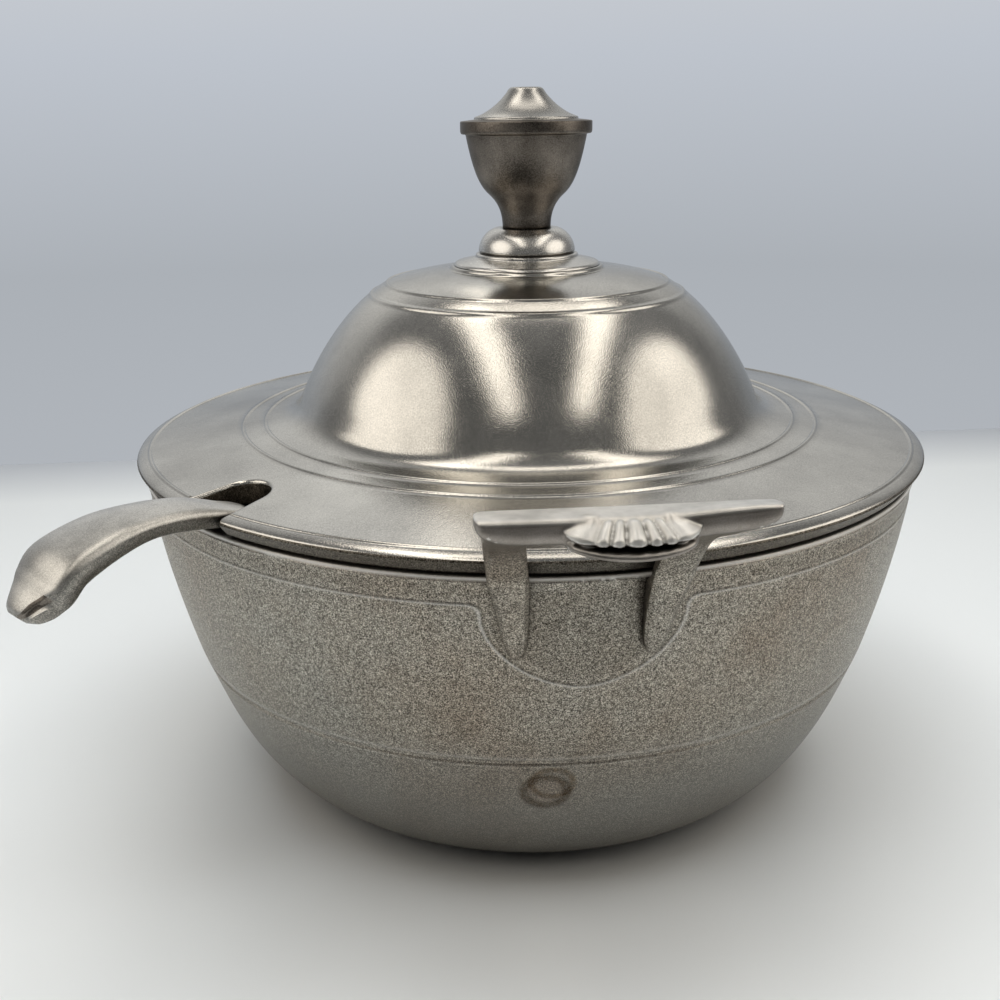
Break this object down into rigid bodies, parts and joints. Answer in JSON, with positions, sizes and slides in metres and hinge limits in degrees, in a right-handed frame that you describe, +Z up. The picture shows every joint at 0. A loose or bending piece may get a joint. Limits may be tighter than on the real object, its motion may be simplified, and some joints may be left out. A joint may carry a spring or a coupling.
{
  "type": "soup tureen",
  "caption": "Round covered soup tureen in cast grey metal, with shell handles, a domed lid with an urn knob, and a ladle that rests in a slot at the lid's edge.",
  "frame": {"origin": "centre of the flat base", "axes": "+Z up, front handle towards -Y, ladle slot towards -X and -Y"},
  "size_m": [0.2688, 0.3662, 0.2224],
  "materials": {
    "cast_metal": "sand-cast grey alloy with a fine speckle and a brownish patina",
    "handle_metal": "satin cast alloy, darker in the recesses",
    "satin_metal": "satin, finely turned",
    "bright_metal": "polished",
    "dark_metal": "polished, with a dark patina",
    "ladle_metal": "satin cast alloy with worn bright edges",
    "steel": "plain"
  },
  "bodies": {
    "tureen": {"tureen_bowl": "cast_metal", "front_handle": "handle_metal", "rear_handle": "handle_metal"},
    "lid": {"lid": "satin_metal", "knob_collar": "bright_metal", "knob": "dark_metal", "knob_screw": "steel", "screw_washer": "steel"},
    "ladle": {"ladle": "ladle_metal"}
  },
  "joints": [
    {"name": "lid_lift", "type": "slide", "parent": "tureen", "child": "lid", "axis": [0, 0, 1], "range_m": [0, 0.2]},
    {"name": "ladle_rock", "type": "hinge", "parent": "tureen", "child": "ladle", "pos_m": [-0.09217, -0.07464, 0.1085], "axis": [0.6293, -0.7771, 0], "range_deg": [0, 12]}
  ]
}
